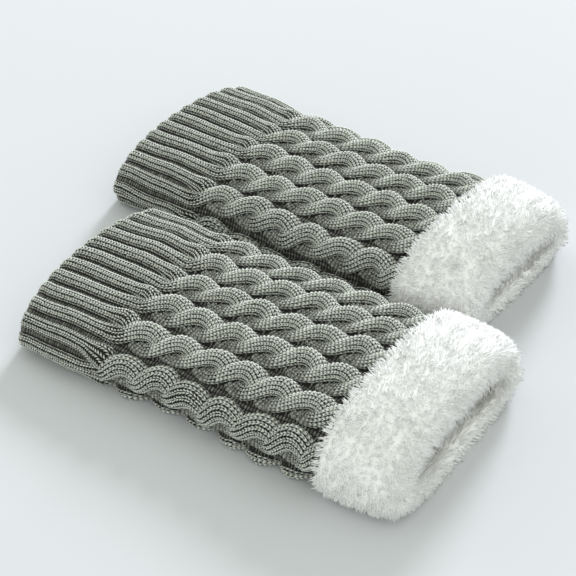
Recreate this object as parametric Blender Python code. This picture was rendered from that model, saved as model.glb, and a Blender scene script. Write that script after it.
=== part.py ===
"""A pair of cable-knit leg warmers, lying side by side as they were put down.

Each leg warmer is three pieces, one inside the other: a knitted tube (ribbed band, then
cables), a plush lining that runs through it, and the plush turned out over the mouth as a cuff.
Metres, +Z up. +X runs along the front leg warmer from its ribbed end to its mouth.
"""
import math

import bpy
import numpy as np

MM = 0.001

# Driving dimensions, in millimetres, along a leg warmer's own length (its first crossing's
# fourth row is length 0) and across it.
RIB_EDGE = -124.0           # free edge of the ribbed band
CROSSING_START = -66.0      # where the ribs begin to cross into cables
CROSSING = 19.8             # length of one cable crossing
CUFF_EDGE = 67.0            # where the turned-out plush begins
KNIT_END = 100.0            # hidden end of the knitting, inside the turned cuff
MOUTH = 114.5               # rounded lip of the cuff
CABLES = 12                 # cables round the tube, two ribs for each
EDGE_BOW = 6.5              # how far the ribbed edge bows out in its middle
LIP_STEP = 3.0              # how much further the lower lip reaches than the upper one

KNIT_WALL = 2.5             # fabric between the cables
RIB_RELIEF = 3.1            # height of a rib over the fabric
STRAND_RELIEF = 4.1         # mean height of a cable's strand
CROSSING_LIFT = 2.9         # how much higher a strand stands where it crosses over
LIFT_LAG = 0.3 * math.pi    # a strand is highest after it has crossed, and then dives
PLUSH = 4.5                 # thickness of the lining
SEAM_GAP = 0.5
CUFF_GAP = 0.9              # round the knitting, which the cuff follows with fewer sides
LINING_START = -114.0       # the lining is sewn in a little inside the ribbed edge
LINING_END = 88.0

STRAND_SIDE = (0.25, 0.2)     # strand's distance from the cable's middle, as ribs and as cable
STRAND_HALF = (0.175, 0.265)    # its half width, both as shares of the width of a cable

ROWS_PER_CROSSING = 5
FINE_CABLES = 8             # cables on the top and sides, which are raised
FINE_STEPS = 8              # sides to a cable there
HOME_CABLE = 4              # the cable that a leg warmer's `cable_at` places
PLAIN_STEPS = 2             # sides to a cable on the flat underside
PLUSH_STEPS = 4             # sides to a raised cable's width on the plush pieces

SIDE_POWER = 2.6            # squareness of the section above its widest level
UNDER_POWER = 3.6           # and below it
WIDEST = 0.42               # height of the widest level, as a share of the section's height
SOLE_DIP = 0.8              # the section is cut flat this far above its lowest point

# Sections of the fabric between the cables:
# length, middle across, half width, underside, top.
FRONT_SECTIONS = (
    (-124.0, 14.4, 55.0, 0.0, 22.5),
    (-119.0, 14.2, 58.0, 0.0, 25.0),
    (-88.0, 13.7, 58.6, 0.0, 27.6),
    (-66.0, 13.4, 56.0, 0.0, 28.0),
    (-33.0, 13.7, 53.2, 0.0, 29.4),
    (0.0, 13.8, 53.6, 0.0, 31.0),
    (35.0, 13.2, 54.4, 0.0, 33.6),
    (67.0, 14.4, 55.6, 3.2, 36.0),
    (115.0, 15.2, 52.6, 3.6, 36.4),
)
REAR_SECTIONS = (
    (-124.0, 0.4, 55.0, 0.0, 22.5),
    (-119.0, 0.6, 57.0, 0.0, 25.0),
    (-88.0, 2.0, 55.4, 0.0, 27.6),
    (-66.0, 1.6, 53.2, 0.0, 28.0),
    (-33.0, 1.8, 51.8, 0.0, 29.4),
    (0.0, 2.2, 51.8, 0.0, 31.0),
    (35.0, 3.4, 51.0, 0.0, 33.6),
    (67.0, 6.8, 49.6, 3.2, 36.0),
    (115.0, 7.8, 42.6, 3.6, 36.4),
)

# Where each leg warmer lies: name, place of length 0, turn in degrees, sections, and the
# distance across at which the cable nearest the middle runs.
# The two places put the middle of the pair's bounding box over the origin.
WARMERS = (
    ("front", (21.6, -72.7), 0.0, FRONT_SECTIONS, -3.0),
    ("rear", (-12.0, 58.3), -3.2, REAR_SECTIONS, -3.0),
)

# The cuff's profile, from its edge over the top of the lip and back into the mouth:
# length, distance out from the fabric between the cables.
CUFF_OUTSIDE = (
    (67.0, 9.0), (72.5, 10.5), (84.0, 10.9), (97.0, 10.6), (106.5, 8.8), (112.4, 4.8),
    (114.5, -0.6), (112.8, -6.0), (107.5, -9.6), (98.0, -10.8), (89.0, -9.4),
)
RELIEF_FADE = (66.0, 72.0)  # the cables flatten out under the cuff's edge

MATERIALS = {
    "knit": ((0.30, 0.31, 0.29), 0.85),
    "lining": ((0.80, 0.81, 0.78), 0.95),
    "cuff": ((0.86, 0.87, 0.86), 0.95),
}


def clear_scene():
    for thing in list(bpy.data.objects):
        bpy.data.objects.remove(thing, do_unlink=True)


def smooth(value, low, high):
    """0 below low, 1 above high, and a smooth step between."""
    t = np.clip((np.asarray(value, float) - low) / (high - low), 0.0, 1.0)
    return t * t * (3.0 - 2.0 * t)


class Tube:
    """The lying tube of fabric between the cables, and the place where it lies."""

    FINE = 2880

    def __init__(self, place, turn, sections, cable_at):
        self.place = place
        self.turn = math.radians(turn)
        self.table = np.array(sections)
        self.cable_at = cable_at

    def column(self, length, index):
        return float(np.interp(length, self.table[:, 0], self.table[:, index]))

    def section(self, length, angle, grown):
        """Across, up and outward normals of the section, made larger all round by `grown`.

        It is an oval with squared shoulders: one share of its height lies under its widest
        level and the rest above, each part with its own squareness.
        """
        half = self.column(length, 2) + grown
        low = self.column(length, 3) - SOLE_DIP - grown
        height = self.column(length, 4) + grown - low
        cosine, sine = np.cos(angle), np.sin(angle)
        above = sine > 0.0
        power = np.where(above, SIDE_POWER, UNDER_POWER)
        rise = np.where(above, 1.0 - WIDEST, WIDEST) * height
        across = half * np.sign(cosine) * np.abs(cosine) ** (2.0 / SIDE_POWER)
        up = rise * np.sign(sine) * np.abs(sine) ** (2.0 / power)
        n_across = np.sign(cosine) * np.abs(cosine) ** (2.0 - 2.0 / SIDE_POWER)
        n_across = n_across * SIDE_POWER / half
        n_up = np.sign(sine) * np.abs(sine) ** (2.0 - 2.0 / power) * power / rise
        size = np.hypot(n_across, n_up)
        across = across + self.column(length, 1)
        return across, low + WIDEST * height + up, n_across / size, n_up / size

    def angles(self, length, cables):
        """Angles on the section at places counted in cables, even by the way round it."""
        angle = np.linspace(-math.pi / 2.0, 1.5 * math.pi, self.FINE)
        across, up = self.section(length, angle, 0.0)[:2]
        run = np.concatenate([[0.0], np.cumsum(np.hypot(np.diff(across), np.diff(up)))])
        on_top = (angle > 0.1) & (angle < math.pi - 0.1)
        home = np.interp(-self.cable_at, -across[on_top], run[on_top])
        wanted = home + (cables - 0.5 - HOME_CABLE) * run[-1] / CABLES
        return np.interp(np.mod(wanted, run[-1]), run, angle)

    def ring(self, length, cables, grown, relief_here=0.0):
        """World points round one length: on the grown section, with the relief raised on it."""
        angle = self.angles(length, cables)
        y, z, n_across, n_up = self.section(length, angle, grown)
        y = y + n_across * relief_here
        z = np.maximum(z + n_up * relief_here, 0.0)
        side = np.clip((y - self.column(length, 1)) / self.column(length, 2), -1.0, 1.0)
        bowed = EDGE_BOW * side**2 * (1.0 - smooth(length, RIB_EDGE, RIB_EDGE + 60.0))
        widest = self.column(length, 3) + WIDEST * self.column(length, 4)
        upper = LIP_STEP * smooth(z, widest - 8.0, widest + 8.0)
        x = length + bowed - upper * smooth(length, CUFF_EDGE + 20.0, MOUTH)
        c, s = math.cos(self.turn), math.sin(self.turn)
        return np.stack([self.place[0] + x * c - y * s, self.place[1] + x * s + y * c, z], axis=-1)


def places_round(steps):
    """Places round the tube in cables: `steps` to each on top and sides, fewer underneath."""
    fine = np.arange(FINE_CABLES * steps) / steps
    plain = FINE_CABLES + np.arange((CABLES - FINE_CABLES) * PLAIN_STEPS) / PLAIN_STEPS
    return np.concatenate([fine, plain])


def raised(cables):
    """1 where the cables are raised and 0 on the underside, which lies flat."""
    edge = 0.35
    first = smooth(cables, 0.0, edge)
    last = 1.0 - smooth(cables, FINE_CABLES - edge, FINE_CABLES)
    return first * last


def relief(cables, length):
    """Height of ribs and cables over the fabric.

    Two strands wind round each other like a rope, half a turn apart: each one's distance from
    the cable's middle is a cosine of the phase, and its lift is a sine that lags behind it.
    Before the first crossing the phase stands still, and the two strands are two straight ribs.
    Cables are counted from the far side to the near one, so a strand crosses over towards the
    far side.
    """
    x = np.mod(cables, 1.0) - 0.5
    phase = math.pi * max(0.0, length - CROSSING_START) / CROSSING
    cabled = float(smooth(length, CROSSING_START - 12.0, CROSSING_START + 6.0))
    side = STRAND_SIDE[0] + (STRAND_SIDE[1] - STRAND_SIDE[0]) * cabled
    half = STRAND_HALF[0] + (STRAND_HALF[1] - STRAND_HALF[0]) * cabled
    base = RIB_RELIEF + (STRAND_RELIEF - RIB_RELIEF) * cabled
    height = np.zeros_like(x)
    for strand in (0, 1):
        turn = phase + strand * math.pi
        slant = math.hypot(1.0, 0.7 * math.sin(turn) * cabled)
        offset = (x - side * math.cos(turn)) / (half * slant)
        crown = np.sqrt(np.clip(1.0 - offset**2, 0.0, 1.0))
        lift = CROSSING_LIFT * cabled * math.sin(turn - LIFT_LAG)
        height = np.maximum(height, crown * (base + lift))
    return height * raised(cables)


def knit_rows():
    """Lengths of the knitting's outer rows."""
    ribs = [RIB_EDGE + 0.0, RIB_EDGE + 2.5, -106.0, -88.0, -74.0]
    step = CROSSING / ROWS_PER_CROSSING
    cables = list(np.arange(CROSSING_START, RELIEF_FADE[1] + 1.0, step))
    return ribs + cables + [KNIT_END]


def knit_tube(tube):
    """The knitting: ribs and cables raised on the outside, plain inside."""
    round_it = places_round(FINE_STEPS)
    rings = []
    for length in knit_rows():
        fade = 1.0 - float(smooth(length, *RELIEF_FADE))
        edge = 0.35 + 0.65 * float(smooth(length, RIB_EDGE, RIB_EDGE + 3.0))
        raised_here = relief(round_it, length) * fade * edge
        rings.append(tube.ring(length, round_it, 0.0, raised_here))
    for length in (KNIT_END, 67.0, 0.0, -66.0, -115.0, RIB_EDGE):
        rings.append(tube.ring(length, round_it, -KNIT_WALL))
    return rings


def plush_lining(tube):
    """The lining: a plain plush tube against the inside of the knitting."""
    round_it = places_round(PLUSH_STEPS)
    lengths = (LINING_START, -66.0, 0.0, 67.0, LINING_END)
    outside = -KNIT_WALL - SEAM_GAP
    rings = [tube.ring(length, round_it, outside) for length in lengths]
    rings += [tube.ring(length, round_it, outside - PLUSH) for length in reversed(lengths)]
    return rings


def plush_cuff(tube):
    """The plush turned out over the mouth, with the end of the knitting held inside it."""
    round_it = places_round(PLUSH_STEPS)
    rings = [tube.ring(length, round_it, out) for length, out in CUFF_OUTSIDE]
    inside = -KNIT_WALL - CUFF_GAP
    rings.append(tube.ring(LINING_END + 1.0, round_it, inside))
    rings.append(tube.ring(KNIT_END + 1.0, round_it, inside))
    rings.append(tube.ring(KNIT_END + 1.0, round_it, CUFF_GAP))
    tallest = STRAND_RELIEF + CROSSING_LIFT
    for length in (RELIEF_FADE[1] + 1.0, CUFF_EDGE):
        over = tallest * (1.0 - float(smooth(length, *RELIEF_FADE))) * raised(round_it)
        rings.append(tube.ring(length, round_it, CUFF_GAP, over))
    return rings


def material(name, color, roughness):
    made = bpy.data.materials.new(name)
    made.use_nodes = True
    shader = made.node_tree.nodes["Principled BSDF"]
    shader.inputs["Base Color"].default_value = (*color, 1.0)
    shader.inputs["Roughness"].default_value = roughness
    shader.inputs["Metallic"].default_value = 0.0
    return made


def ring_object(name, rings, finish):
    """One closed body through rings that run round its wall and back to the first."""
    count = len(rings[0])
    points = np.concatenate(rings) * MM
    row = np.arange(len(rings))[:, None]
    column = np.arange(count)[None, :]
    next_row = (row + 1) % len(rings)
    next_column = (column + 1) % count
    corners = (row * count + column, row * count + next_column,
               next_row * count + next_column, next_row * count + column)
    faces = np.stack(corners, axis=-1).reshape(-1, 4)
    mesh = bpy.data.meshes.new(name)
    mesh.from_pydata(points.tolist(), [], faces.tolist())
    mesh.materials.append(finish)
    mesh.shade_smooth()
    made = bpy.data.objects.new(name, mesh)
    bpy.context.collection.objects.link(made)
    return made


def main():
    clear_scene()
    finishes = {name: material(name, *look) for name, look in MATERIALS.items()}
    for name, place, turn, sections, cable_at in WARMERS:
        tube = Tube(place, turn, sections, cable_at)
        ring_object(f"knit_tube_{name}", knit_tube(tube), finishes["knit"])
        ring_object(f"plush_lining_{name}", plush_lining(tube), finishes["lining"])
        ring_object(f"plush_cuff_{name}", plush_cuff(tube), finishes["cuff"])


main()
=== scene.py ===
# %% [markdown]
# # A pair of cable-knit leg warmers with plush cuffs
#
# Two knitted tubes lie side by side. Each has a ribbed band at one end, twelve cables round it,
# and white plush turned out over its mouth. This lesson builds them around a packed CAD model.
# They could be sculpted, but formulas keep every stitch and lock where the knitting is.

# %% Load the frame and keep its size
import math

import bpy
import numpy as np
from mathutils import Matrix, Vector


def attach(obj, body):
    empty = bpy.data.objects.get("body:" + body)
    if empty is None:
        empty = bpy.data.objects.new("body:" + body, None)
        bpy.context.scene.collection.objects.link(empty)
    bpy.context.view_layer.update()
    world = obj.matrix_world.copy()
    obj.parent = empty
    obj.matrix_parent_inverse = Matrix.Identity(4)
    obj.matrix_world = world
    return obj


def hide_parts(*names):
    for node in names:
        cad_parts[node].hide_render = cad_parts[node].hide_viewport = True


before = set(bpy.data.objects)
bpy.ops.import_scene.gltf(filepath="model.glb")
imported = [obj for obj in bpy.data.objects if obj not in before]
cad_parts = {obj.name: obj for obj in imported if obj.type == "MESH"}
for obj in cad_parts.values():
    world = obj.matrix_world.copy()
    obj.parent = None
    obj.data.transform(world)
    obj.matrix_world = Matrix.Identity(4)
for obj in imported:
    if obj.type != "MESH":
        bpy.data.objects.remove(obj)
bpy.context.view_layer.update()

MM = 0.001

# %% [markdown]
# ## The lying tube
#
# A leg warmer that lies flat is a tube pressed to a low oval with squared shoulders. Every point
# of it has two numbers: its length along the tube, in millimetres, and its place round it,
# counted in cables. Ribs, cables, stitches and plush are worked out in these two numbers, so
# they follow the tube by themselves. The sections are the CAD model's own.

# %% Driving dimensions, in millimetres
RIB_EDGE = -124.0  # the open end of the ribs
CROSSING_START = -66.0  # where the ribs begin to cross into cables
CROSSING = 19.8  # length of one cable crossing
CUFF_EDGE = 67.0  # where the turned-out plush ends
KNIT_END = 100.0  # the knitting's other end, hidden in the cuff
MOUTH = 114.5  # the lip
KNIT_WALL = 2.5
CABLES = 12
FINE_CABLES = 8  # raised cables, on the top and sides
HOME_CABLE = 4  # the cable whose place across is given below

# Sections of the fabric between the cables:
# length, middle across, half width, underside, top.
FRONT_SECTIONS = (
    (-124.0, 14.4, 55.0, 0.0, 22.5),
    (-119.0, 14.2, 58.0, 0.0, 25.0),
    (-88.0, 13.7, 58.6, 0.0, 27.6),
    (-66.0, 13.4, 56.0, 0.0, 28.0),
    (-33.0, 13.7, 53.2, 0.0, 29.4),
    (0.0, 13.8, 53.6, 0.0, 31.0),
    (35.0, 13.2, 54.4, 0.0, 33.6),
    (67.0, 14.4, 55.6, 3.2, 36.0),
    (115.0, 15.2, 52.6, 3.6, 36.4),
)
REAR_SECTIONS = (
    (-124.0, 0.4, 55.0, 0.0, 22.5),
    (-119.0, 0.6, 57.0, 0.0, 25.0),
    (-88.0, 2.0, 55.4, 0.0, 27.6),
    (-66.0, 1.6, 53.2, 0.0, 28.0),
    (-33.0, 1.8, 51.8, 0.0, 29.4),
    (0.0, 2.2, 51.8, 0.0, 31.0),
    (35.0, 3.4, 51.0, 0.0, 33.6),
    (67.0, 6.8, 49.6, 3.2, 36.0),
    (115.0, 7.8, 42.6, 3.6, 36.4),
)
# name, place of length 0, turn in degrees, sections, home cable's place across
WARMERS = (
    ("front", (21.6, -72.7), 0.0, FRONT_SECTIONS, -3.0),
    ("rear", (-12.0, 58.3), -3.2, REAR_SECTIONS, -3.0),
)
print(f"a tube is {MOUTH - RIB_EDGE} mm long, and its ribs {CROSSING_START - RIB_EDGE} mm")


# %% A smooth step, and vectors of length 1
def smooth(value, low, high):
    """0 below low, 1 above high, and the smooth step t * t * (3 - 2 t) between."""
    t = np.clip((np.asarray(value, float) - low) / (high - low), 0.0, 1.0)
    return t * t * (3.0 - 2.0 * t)


def unit(vectors, least=1e-9):
    """The vectors' directions, at length 1; `least` keeps a zero vector from dividing by 0."""
    return vectors / (np.linalg.norm(vectors, axis=-1, keepdims=True) + least)


print("a quarter of the way, the step is at", smooth(0.25, 0.0, 1.0))

# %% The oval at every length
SIDE_POWER = 2.6  # how square the oval is at its sides and on top
UNDER_POWER = 3.6  # and underneath
WIDEST = 0.42  # the height of its widest level, as a share
SOLE_DIP = 0.8  # it would dip this far under the floor, which presses it flat


class Oval:
    """One leg warmer's section: section(length, angle, grown) in millimetres.

    It is a superellipse: across is half * cos ** (2 / power) and up is
    rise * sin ** (2 / power), with a larger power under its widest level than above it.
    """

    def __init__(self, sections):
        self.sections = np.array(sections)

    def column(self, length, index):
        return np.interp(length, self.sections[:, 0], self.sections[:, index])

    def section(self, length, angle, grown):
        """Across, up and outward normals of the section, made larger all round by `grown`."""
        half = self.column(length, 2) + grown
        low = self.column(length, 3) - SOLE_DIP - grown
        height = self.column(length, 4) + grown - low
        cosine, sine = np.cos(angle), np.sin(angle)
        above = sine > 0.0
        power = np.where(above, SIDE_POWER, UNDER_POWER)
        rise = np.where(above, 1.0 - WIDEST, WIDEST) * height
        across = half * np.sign(cosine) * np.abs(cosine) ** (2.0 / SIDE_POWER)
        up = rise * np.sign(sine) * np.abs(sine) ** (2.0 / power)
        n_across = np.sign(cosine) * np.abs(cosine) ** (2.0 - 2.0 / SIDE_POWER)
        n_across *= SIDE_POWER / half
        n_up = np.sign(sine) * np.abs(sine) ** (2.0 - 2.0 / power) * power / rise
        size = np.hypot(n_across, n_up)
        across = across + self.column(length, 1)
        return across, low + WIDEST * height + up, n_across / size, n_up / size


top = Oval(FRONT_SECTIONS).section(0.0, math.pi / 2.0, 0.0)[1]
print(f"the front oval is {top:.1f} mm high at length 0")

# %% [markdown]
# ## Lines that stray
#
# Hand-knitted lines are never quite straight. Noise would tear the stitches from each other, so
# a few slow sines move whole neighbourhoods. They die out at the rim and under the cuff.

# %% How far a point strays
WOBBLE = (0.045, 1.1)  # at most, in cables and in mm
STRAY_WAVES = ((1.0, 0.085, 4.0), (0.6, 0.19, -3.0))  # share, radians a mm, waves round
ROW_WAVE = (0.03, 5.0, 1.0)  # radians a mm, waves round, start
STRAY_STARTS = (RIB_EDGE, RIB_EDGE + 12.0)
STRAY_ENDS = (54.0, 66.0)
CALM_RIBS = 0.4  # the ribs' share of the straying
CALM_ENDS = (CROSSING_START - 12.0, CROSSING_START + 4.0)


def strayed(length, cables):
    """How far points stray round the tube, in cables, and along it, in mm: sums of sines."""
    round_it = math.tau * cables / CABLES
    held = smooth(length, *STRAY_STARTS) * (1.0 - smooth(length, *STRAY_ENDS))
    waves = sum(share * np.sin(rate * length + count * round_it)
                for share, rate, count in STRAY_WAVES)
    waves = waves * (CALM_RIBS + (1.0 - CALM_RIBS) * smooth(length, *CALM_ENDS))
    rate, count, start = ROW_WAVE
    ahead = np.sin(rate * length + count * round_it + start)
    return WOBBLE[0] * held * waves, WOBBLE[1] * held * ahead


print("at length 0, cable 4, points stray by", [round(float(s), 3) for s in strayed(0.0, 4.0)])

# %% The tube as a function of two numbers
EDGE_BOW = 6.5  # how far the ribbed edge's sides lie along from its middle
BOW_RUN = (RIB_EDGE, RIB_EDGE + 60.0)
LIP_STEP = 3.0  # how far the upper lip is drawn back
LIP_LEVEL = 8.0  # half the height over which the lower lip becomes the upper
LIP_RUN = (CUFF_EDGE + 20.0, MOUTH)
TABLE_END = 116.0  # just past the lip


class Tube(Oval):
    """The lying tube: place(length, cables, grown, relief) gives points in millimetres.

    The angle for a place counted in cables is read from a table, made even by the way round.
    """

    LENGTHS = np.linspace(RIB_EDGE, TABLE_END, 121)
    PER_CABLE = 48  # the table's entries for each cable
    ANGLES = np.linspace(-math.pi / 2.0, 1.5 * math.pi, 2880)
    TOP = (ANGLES > 0.1) & (ANGLES < math.pi - 0.1)  # where the home cable is looked for

    def __init__(self, place, turn, sections, cable_at):
        super().__init__(sections)
        self.origin = place
        self.turn = math.radians(turn)
        self.cable_at = cable_at
        cables = np.arange(-1.0, CABLES + 1.0 + 1.0 / self.PER_CABLE, 1.0 / self.PER_CABLE)
        rows = [self.even_angles(length, cables) for length in self.LENGTHS]
        self.table = np.array([row[0] for row in rows])
        self.pitches = np.array([row[1] for row in rows])

    def pitch(self, length):
        """Width of one cable at a length."""
        return np.interp(length, self.LENGTHS, self.pitches)

    def even_angles(self, length, cables):
        """Angles at places counted in cables, even by the way round, and a cable's width."""
        across, up = self.section(length, self.ANGLES, 0.0)[:2]
        run = np.concatenate([[0.0], np.cumsum(np.hypot(np.diff(across), np.diff(up)))])
        total = run[-1]
        home = np.interp(-self.cable_at, -across[self.TOP], run[self.TOP])
        wanted = home + (cables - 0.5 - HOME_CABLE) * total / CABLES
        turns = np.floor(wanted / total)
        angles = np.interp(wanted - turns * total, run, self.ANGLES) + math.tau * turns
        return angles, total / CABLES

    def angle(self, length, cables):
        """The table's angle between its four nearest entries."""
        step = self.LENGTHS[1] - self.LENGTHS[0]
        row = np.clip((length - RIB_EDGE) / step, 0.0, len(self.LENGTHS) - 1.001)
        column = np.clip((cables + 1.0) * self.PER_CABLE, 0.0, self.table.shape[1] - 1.001)
        r, c = row.astype(int), column.astype(int)
        row, column = row - r, column - c
        near = self.table[r, c] * (1.0 - column) + self.table[r, c + 1] * column
        far = self.table[r + 1, c] * (1.0 - column) + self.table[r + 1, c + 1] * column
        return near * (1.0 - row) + far * row

    def place(self, length, cables, grown=0.0, relief=0.0):
        """Points on the grown section, raised by `relief` along its normal."""
        length, cables = np.broadcast_arrays(np.asarray(length, float), cables)
        aside, ahead = strayed(length, cables)
        angle = self.angle(length, cables + aside)
        length = length + ahead
        y, z, n_across, n_up = self.section(length, angle, grown)
        y = y + n_across * relief
        z = np.maximum(z + n_up * relief, 0.0)
        side = np.clip((y - self.column(length, 1)) / self.column(length, 2), -1.0, 1.0)
        bowed = EDGE_BOW * side**2 * (1.0 - smooth(length, *BOW_RUN))
        widest = self.column(length, 3) + WIDEST * self.column(length, 4)
        upper = LIP_STEP * smooth(z, widest - LIP_LEVEL, widest + LIP_LEVEL)
        x = length + bowed - upper * smooth(length, *LIP_RUN)
        c, s = math.cos(self.turn), math.sin(self.turn)
        return np.stack([self.origin[0] + x * c - y * s, self.origin[1] + x * s + y * c, z], -1)


TUBES = {name: Tube(*rest) for name, *rest in WARMERS}
for name, tube in TUBES.items():
    print(f"{name} tube: a cable is {tube.pitch(0.0):.1f} mm wide in its middle")

# %% [markdown]
# ## Cables as a relief
#
# A cable is two strands that wind round each other like a rope. A strand's distance from the
# cable's middle is a cosine of a phase, and its height is a sine of the same phase. Before the
# first crossing the phase stands still, and the strands are two straight ribs. Ribs and cables
# could be two models, but one formula for both joins them without a seam.

# %% Where the knitting is raised
RELIEF_FADE = (66.0, 72.0)  # lengths over which the relief ends under the cuff
RAISED_EDGE = 0.35  # cables over which it ends at the underside
RIM = (0.35, 3.0)  # its share at the ribbed edge, and the length until it is full


def raised(cables):
    """1 where the cables are raised and 0 on the underside, which lies flat."""
    first = smooth(cables, 0.0, RAISED_EDGE)
    return first * (1.0 - smooth(cables, FINE_CABLES - RAISED_EDGE, FINE_CABLES))


def ends(length):
    """The relief's fade: low at the ribbed edge, and flat under the cuff."""
    edge = RIM[0] + (1.0 - RIM[0]) * smooth(length, RIB_EDGE, RIB_EDGE + RIM[1])
    return edge * (1.0 - smooth(length, *RELIEF_FADE))


print("the relief's share along the tube:", ends(np.array([RIB_EDGE, 0.0, 69.0])).round(2))

# %% Strands, and the height of the knitting
RIB_RELIEF = 3.1  # height of the ribs over the fabric
STRAND_RELIEF = 4.1  # and of the strands of a cable
CROSSING_LIFT = 2.9  # how much higher or lower a strand is where it crosses
LIFT_LAG = 0.3 * math.pi  # a strand is highest after it has crossed over
STRAND_SIDE = (0.25, 0.2)  # a strand's middle from the cable's, in ribs and in cables
STRAND_HALF = (0.175, 0.265)  # its half width
STRAND_SLOPE = 0.7  # how steeply it crosses
RIBS_TO_CABLES = (CROSSING_START - 12.0, CROSSING_START + 6.0)


def strand(length, which):
    """A strand's middle, half width, slope and top, as shares of a cable's width and in mm.

    Middle = side * cos(turn), top = base + lift * sin(turn - lag), and the half width grows by
    the slope of the strand across the cable.
    """
    turn = math.pi * np.maximum(0.0, length - CROSSING_START) / CROSSING + which * math.pi
    cabled = smooth(length, *RIBS_TO_CABLES)
    side = STRAND_SIDE[0] + (STRAND_SIDE[1] - STRAND_SIDE[0]) * cabled
    half = STRAND_HALF[0] + (STRAND_HALF[1] - STRAND_HALF[0]) * cabled
    base = RIB_RELIEF + (STRAND_RELIEF - RIB_RELIEF) * cabled
    slope = STRAND_SLOPE * np.sin(turn) * cabled
    lift = CROSSING_LIFT * np.sin(turn - LIFT_LAG) * cabled
    return side * np.cos(turn), half, slope, base + lift


def strand_height(x, length, which):
    """Height of one strand over the fabric: a round crown over its half width."""
    middle, half, slope, top = strand(length, which)
    offset = (x - middle) / (half * np.hypot(1.0, slope))
    return np.sqrt(np.clip(1.0 - offset**2, 0.0, 1.0)) * top


def relief(cables, length):
    """Height of ribs and cables: the higher of the two strands."""
    x = np.mod(cables, 1.0) - 0.5
    height = np.maximum(strand_height(x, length, 0), strand_height(x, length, 1))
    return height * raised(cables) * ends(length)


print(f"a strand stands {relief(3.7, 0.0):.1f} mm high at length 0")

# %% [markdown]
# ## From arrays to meshes
#
# Every shape below ends as an array of points and an array of faces. One helper turns them into
# a mesh with a material, a UV map and numbers on the points, which the materials read. Whole
# arrays are far quicker than faces added one by one. The objects stay at the origin.


# %% A mesh object from arrays
def volume_of(points, faces):
    """Signed volume: a sum of first . (second x third) / 6 over the triangles."""
    volume = 0.0
    for face in faces:
        first, *others = points[face.T]
        for second, third in zip(others, others[1:]):
            volume += (first * np.cross(second, third)).sum() / 6.0
    return volume


def make_piece(name, points, faces, material, uv=None, numbers=None, normals=None):
    """A mesh object from points in millimetres and rows of quads or triangles."""
    mesh = bpy.data.meshes.new(name)
    sizes = [face.shape[1] for face in faces]
    counts = [len(face) for face in faces]
    corners = np.concatenate([face.ravel() for face in faces]).astype(np.int32)
    totals = np.repeat(sizes, counts).astype(np.int32)
    starts = np.concatenate([[0], np.cumsum(totals)[:-1]]).astype(np.int32)
    mesh.vertices.add(len(points))
    mesh.vertices.foreach_set("co", (points * MM).astype(np.float32).ravel())
    mesh.loops.add(len(corners))
    mesh.loops.foreach_set("vertex_index", corners)
    mesh.polygons.add(len(totals))
    mesh.polygons.foreach_set("loop_start", starts)
    mesh.polygons.foreach_set("loop_total", totals)
    mesh.update(calc_edges=True)
    mesh.shade_smooth()
    if uv is not None:
        layer = mesh.uv_layers.new(name="UVMap")
        layer.data.foreach_set("uv", uv[corners].astype(np.float32).ravel())
    for key, values in (numbers or {}).items():
        attribute = mesh.attributes.new(key, "FLOAT", "POINT")
        attribute.data.foreach_set("value", values.astype(np.float32).ravel())
    if normals is not None:
        mesh.normals_split_custom_set_from_vertices(normals.astype(np.float32))
    mesh.materials.append(material)
    piece = bpy.data.objects.new(name, mesh)
    bpy.context.scene.collection.objects.link(piece)
    volume = volume_of(points, faces) / 1000.0
    held = f"hold {volume:.1f} cm3" if volume > 0.0 else "don't close off a volume"
    print(f"{name}: {int((totals - 2).sum())} triangles {held}")
    return piece


# %% Faces of a shell
def ring_faces(rows, columns):
    """Quads between neighbouring rings of points, all round, and back to the first ring."""
    row = np.arange(rows)[:, None]
    column = np.arange(columns)[None, :]
    next_row = (row + 1) % rows
    next_column = (column + 1) % columns
    corners = (row * columns + column, row * columns + next_column,
               next_row * columns + next_column, next_row * columns + column)
    return np.stack(np.broadcast_arrays(*corners), axis=-1).reshape(-1, 4)


print("two rings of three points have the quads", ring_faces(2, 3).tolist())


# %% Closed pieces of yarn
def spindles(centres, widths, heights, ups, sides=4):
    """Closed yarn pieces: rings round centre lines, with a point at either end.

    centres is (pieces, steps, 3) in mm. Each ring is centre + width * cos * across
    + height * sin * up, where across = tangent x up. Nothing goes under the floor.
    """
    count, steps = centres.shape[:2]
    tangent = np.gradient(centres, axis=1)
    across = unit(np.cross(tangent, ups))
    up = unit(np.cross(across, tangent))
    angle = np.arange(sides) * math.tau / sides
    ring = (across[:, 1:-1, None] * (widths[..., None] * np.cos(angle))[..., None]
            + up[:, 1:-1, None] * (heights[..., None] * np.sin(angle))[..., None])
    ring = ring + centres[:, 1:-1, None]
    points = np.concatenate([centres[:, :1], ring.reshape(count, -1, 3), centres[:, -1:]], 1)
    points[..., 2] = np.maximum(points[..., 2], 0.0)
    around = np.arange(sides)
    onward = (around + 1) % sides
    last = 1 + (steps - 2) * sides
    base = last - sides
    first_cap = np.stack([0 * around, 1 + around, 1 + onward], -1)
    last_cap = np.stack([last + 0 * around, base + onward, base + around], -1)
    walls = [np.stack([1 + k * sides + around, 1 + (k + 1) * sides + around,
                       1 + (k + 1) * sides + onward, 1 + k * sides + onward], -1)
             for k in range(steps - 3)]
    shift = (np.arange(count) * (last + 1))[:, None, None]
    faces = [(np.concatenate([first_cap, last_cap]) + shift).reshape(-1, 3)]
    if walls:
        faces.insert(0, (np.concatenate(walls) + shift).reshape(-1, 4))
    return points.reshape(-1, 3), faces, last + 1


line = np.array([[[0.0, 0.0, 2.0], [2.0, 0.0, 2.0], [4.0, 0.0, 2.0]]])
points, faces, each = spindles(line, np.ones((1, 1)), np.ones((1, 1)), np.array([0.0, 0.0, 1.0]))
print(f"a piece of yarn has {each} points; this one holds {volume_of(points, faces):.2f} mm3")

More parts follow.
